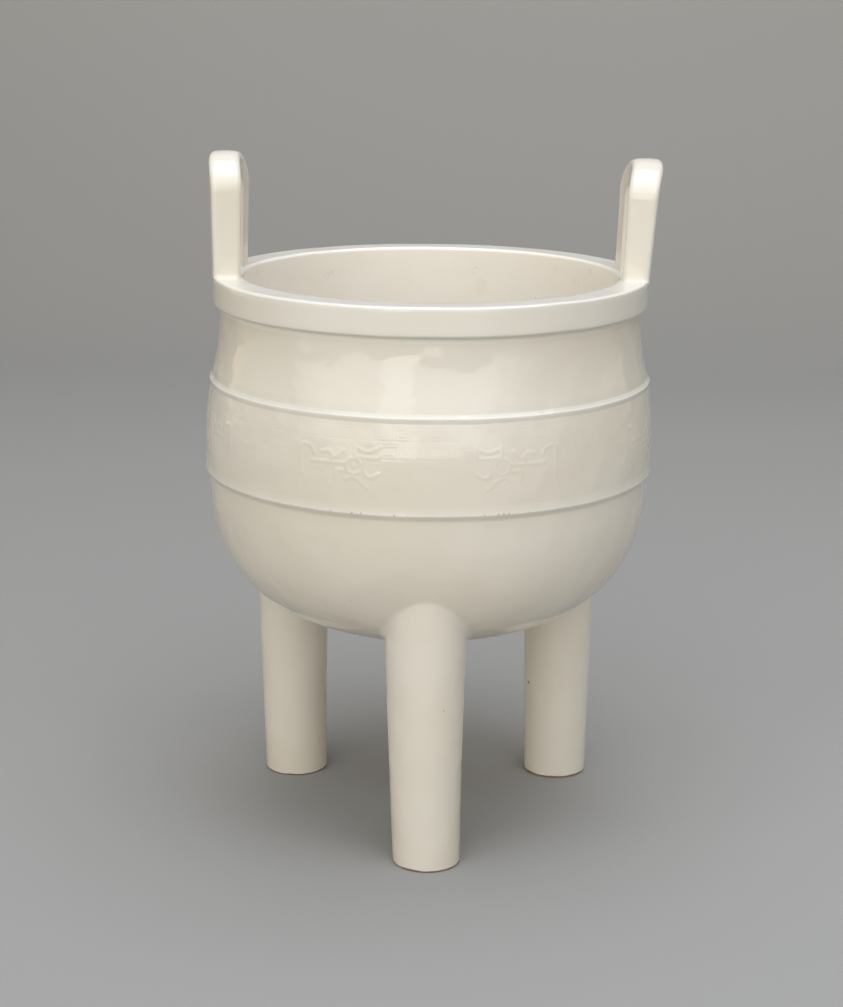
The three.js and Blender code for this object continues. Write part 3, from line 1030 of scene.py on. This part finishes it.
def ivoryGlaze():
    material = bpy.data.materials.new("ivory_glaze")
    material.use_nodes = True
    tree = material.node_tree
    shader = tree.nodes["Principled BSDF"]
    place = addNode(tree, "ShaderNodeTexCoord").outputs["Object"]
    height = addNode(tree, "ShaderNodeSeparateXYZ")
    tree.links.new(place, height.inputs[0])
    pool = addNode(tree, "ShaderNodeAttribute", attribute_name="glazePool").outputs["Fac"]
    inside = addNode(tree, "ShaderNodeAttribute", attribute_name="inside").outputs["Fac"]

    # slow change of tone over the whole body, then thick and thin glaze
    cloud = mapValue(tree, noiseValue(tree, place, glaze["cloudScale"]), *glaze["cloudRange"])
    colour = mixColour(tree, cloud, glaze["ivory"], glaze["cream"])
    thick = mapValue(tree, pool, *glaze["poolRange"], 0.0, glaze["poolDepth"])
    colour = mixColour(tree, thick, colour, glaze["pooled"])
    thin = mapValue(tree, pool, *glaze["thinRange"], 0.0, glaze["thinDepth"])
    colour = mixColour(tree, thin, colour, glaze["thin"])

    # the inside is a warmer glaze and is painted brighter, a painted light on the inner wall, with a few
    # faint stains
    colour = mixColour(tree, multiplied(tree, inside, glaze["insideTintAndLightDepth"]), colour, glaze["inside"])
    blotches = noiseValue(tree, place, glaze["stainScale"], 6.0, 0.6)
    stain = mapValue(tree, blotches, *glaze["stainRange"], 0.0, glaze["stainDepth"])
    colour = mixColour(tree, multiplied(tree, inside, stain), colour, glaze["stain"])
    grains = mapValue(tree, noiseValue(tree, place, glaze["grainScale"], 4.0, 0.6), *glaze["grainRange"])
    for x, y, z, radius in rustyStains:
        spot = speckMask(tree, place, (x, y, z), glaze["grainReach"] * radius)
        mask = multiplied(tree, multiplied(tree, spot, grains), glaze["grainDepth"])
        colour = mixColour(tree, mask, colour, glaze["rust"])

    # single dark specks, then the rusty ones where the glaze is thin on the band's lower edge
    for x, y, z, radius, depth in specks:
        spot = speckMask(tree, place, (x, y, z), radius)
        colour = mixColour(tree, multiplied(tree, spot, depth), colour, glaze["speck"])
    reach = body["lowerStringRadius"]
    for along, radius in edgeSpecks:
        turn = along / reach - math.pi / 2
        middle = (reach * math.cos(turn), reach * math.sin(turn), glaze["edgeSpeckHeight"])
        spot = speckMask(tree, place, middle, glaze["edgeSpeckReach"] * radius)
        colour = mixColour(tree, multiplied(tree, spot, glaze["edgeSpeckDepth"]), colour, glaze["rust"])

    # bare edge and underside of the feet
    low, high = glaze["bareHeights"]
    ragged = mapValue(tree, noiseValue(tree, place, glaze["bareScale"], 2.0), 0.3, 0.7, low * mm, high * mm)
    bare = addNode(tree, "ShaderNodeMath", operation="LESS_THAN")
    tree.links.new(height.outputs["Z"], bare.inputs[0])
    tree.links.new(ragged, bare.inputs[1])
    colour = mixColour(tree, bare.outputs[0], colour, glaze["bareFoot"])
    high, low = glaze["soleHeights"]
    sole = mapValue(tree, height.outputs["Z"], high * mm, low * mm)
    colour = mixColour(tree, sole, colour, glaze["bareClay"])
    tree.links.new(colour, shader.inputs["Base Color"])

    smooth, rough = [share * glaze["roughness"] for share in glaze["roughnessShares"]]
    gloss = mapValue(tree, noiseValue(tree, place, glaze["roughnessScale"]), 0.3, 0.75, smooth, rough)
    dull = addNode(tree, "ShaderNodeMix", data_type="FLOAT")
    tree.links.new(bare.outputs[0], dull.inputs[0])
    tree.links.new(gloss, dull.inputs[2])
    dull.inputs[3].default_value = glaze["bareRoughness"]
    tree.links.new(dull.outputs[0], shader.inputs["Roughness"])
    shader.inputs["IOR"].default_value = glaze["ior"]

    # slow ripple of the glaze and its fine pitting
    waves = addNode(tree, "ShaderNodeMath", operation="SUBTRACT")
    tree.links.new(noiseValue(tree, place, glaze["rippleScale"], 2.0, 0.4), waves.inputs[0])
    waves.inputs[1].default_value = 0.5
    high, low = glaze["calmHeights"]
    calm = mapValue(tree, height.outputs["Z"], high * mm, low * mm, glaze["calmShare"], 1.0)
    ripple = bumpNode(tree, multiplied(tree, waves.outputs[0], calm), glaze["rippleDepth"])
    pits = bumpNode(tree, noiseValue(tree, place, glaze["pitScale"], 2.0, 0.5), glaze["pitDepth"])
    tree.links.new(ripple.outputs["Normal"], pits.inputs["Normal"])
    tree.links.new(pits.outputs["Normal"], shader.inputs["Normal"])
    return material


glazed = ivoryGlaze()
for piece in [vessel] + bands:
    piece.data.materials.append(glazed)
    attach(piece, "root")
    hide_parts("ding_vessel")
print("glazed")


# Floor, light and air

studio = {
    "floorSize": 6.0,
    "floorRoughness": 0.9,
    "floorSheen": 0.15,
    "floorColour": (0.355, 0.347, 0.330),
    "air": (1.0, 0.94, 0.82),
    "airStrength": 0.05,
    # a bright room in front of the vessel on the left, without edges
    "roomTowards": (-0.28, -0.957, 0.08),
    "roomStrength": 1.65,
    "roomReach": (0.20, 0.86),
    "roomTop": (0.75, 0.15),
    # white boards at both sides, brightest at their rear edges
    "boardDistance": 1.5,
    "boardDepth": (-0.5, 1.0),
    "boardHeight": 0.80,
    "boardRise": 1.0,
    "boardColour": (1.0, 0.87, 0.62),
    "boardStrength": {"left": 1.2, "right": 0.65},
    "backRise": 1.6,
    "backDistance": 1.8,
    "bend": 0.9,
    "bendSteps": 24,
}


def addFloor():
    # floor that bends up into a backdrop
    half = studio["floorSize"] / 2
    distance = studio["backDistance"]
    bend = studio["bend"]
    line = [(-half, 0.0)]
    for turn in np.linspace(0, math.pi / 2, studio["bendSteps"] + 1):
        line.append((distance - bend + bend * math.sin(turn), bend - bend * math.cos(turn)))
    line.append((distance, studio["backRise"] + bend))
    points = []
    for y, z in line:
        points += [(-half / mm, y / mm, z / mm), (half / mm, y / mm, z / mm)]
    faces = [(2 * i, 2 * i + 1, 2 * i + 3, 2 * i + 2) for i in range(len(line) - 1)]
    floor = makeObject("floor", points, faces)
    material = bpy.data.materials.new("paper_floor")
    material.use_nodes = True
    shader = material.node_tree.nodes["Principled BSDF"]
    shader.inputs["Base Color"].default_value = (*studio["floorColour"], 1)
    shader.inputs["Roughness"].default_value = studio["floorRoughness"]
    shader.inputs["Specular IOR Level"].default_value = studio["floorSheen"]
    floor.data.materials.append(material)


lights = [
    # name, place, aim, width, height, watts, colour
    ("panel", (0.10, -0.80, 1.30), (0, -0.05, 0.15), 2.3, 1.4, 17.5, (0.92, 0.98, 1.09)),
    ("top", (0.05, 0.10, 1.70), (0, 0, 0.20), 1.2, 1.2, 14.0, (0.93, 0.98, 1.07)),
    ("window", (-0.47, -1.70, 0.38), (0, 0, 0.20), 0.46, 0.60, 1.1, (1.0, 1.0, 1.0)),
    ("back", (0.70, 0.75, 1.90), (0.70, 1.80, 0.55), 1.4, 0.6, 4.0, (0.97, 0.99, 1.03)),
]


def addBoard(side, sign):
    # upright glowing board beside the vessel, fading towards the front
    near, far = studio["boardDepth"]
    x = sign * studio["boardDistance"] / mm
    top = studio["boardHeight"] / mm
    corners = [(x, near / mm, 0), (x, far / mm, 0), (x, far / mm, top), (x, near / mm, top)]
    board = makeObject("board_" + side, corners, [(0, 1, 2, 3)])
    material = bpy.data.materials.new("board_" + side)
    material.use_nodes = True
    tree = material.node_tree
    tree.nodes.clear()
    place = addNode(tree, "ShaderNodeSeparateXYZ")
    tree.links.new(addNode(tree, "ShaderNodeTexCoord").outputs["Generated"], place.inputs[0])
    rising = addNode(tree, "ShaderNodeMath", operation="POWER")
    tree.links.new(place.outputs["Y"], rising.inputs[0])
    rising.inputs[1].default_value = studio["boardRise"]
    glow = addNode(tree, "ShaderNodeEmission")
    glow.inputs["Color"].default_value = (*studio["boardColour"], 1)
    strength = multiplied(tree, rising.outputs[0], studio["boardStrength"][side])
    tree.links.new(strength, glow.inputs["Strength"])
    output = addNode(tree, "ShaderNodeOutputMaterial")
    tree.links.new(glow.outputs[0], output.inputs["Surface"])
    board.data.materials.append(material)


def addLight(name, place, aim, width, height, watts, colour):
    data = bpy.data.lights.new(name, "AREA")
    data.shape = "RECTANGLE"
    data.size = width
    data.size_y = height
    data.energy = watts
    data.color = colour
    light = bpy.data.objects.new(name, data)
    bpy.context.scene.collection.objects.link(light)
    light.location = place
    light.rotation_euler = (Vector(aim) - Vector(place)).to_track_quat("-Z", "Y").to_euler()


def addAir():
    world = bpy.data.worlds.new("air")
    world.use_nodes = True
    tree = world.node_tree
    background = tree.nodes["Background"]
    background.inputs["Color"].default_value = (*studio["air"], 1)
    towards = addNode(tree, "ShaderNodeVectorMath", operation="DOT_PRODUCT")
    direction = addNode(tree, "ShaderNodeTexCoord").outputs["Generated"]
    tree.links.new(direction, towards.inputs[0])
    towards.inputs[1].default_value = studio["roomTowards"]
    low, high = studio["roomReach"]
    room = mapValue(tree, towards.outputs["Value"], low, high, 0.0, studio["roomStrength"])
    rising = addNode(tree, "ShaderNodeSeparateXYZ")
    tree.links.new(direction, rising.inputs[0])
    bright = multiplied(tree, room, mapValue(tree, rising.outputs["Z"], *studio["roomTop"]))
    total = addNode(tree, "ShaderNodeMath", operation="ADD")
    tree.links.new(bright, total.inputs[0])
    total.inputs[1].default_value = studio["airStrength"]
    tree.links.new(total.outputs[0], background.inputs["Strength"])
    bpy.context.scene.world = world


addFloor()
addBoard("left", -1)
addBoard("right", 1)
addAir()
for light in lights:
    addLight(*light)
bpy.context.scene.view_settings.view_transform = "Standard"
print("studio lit")
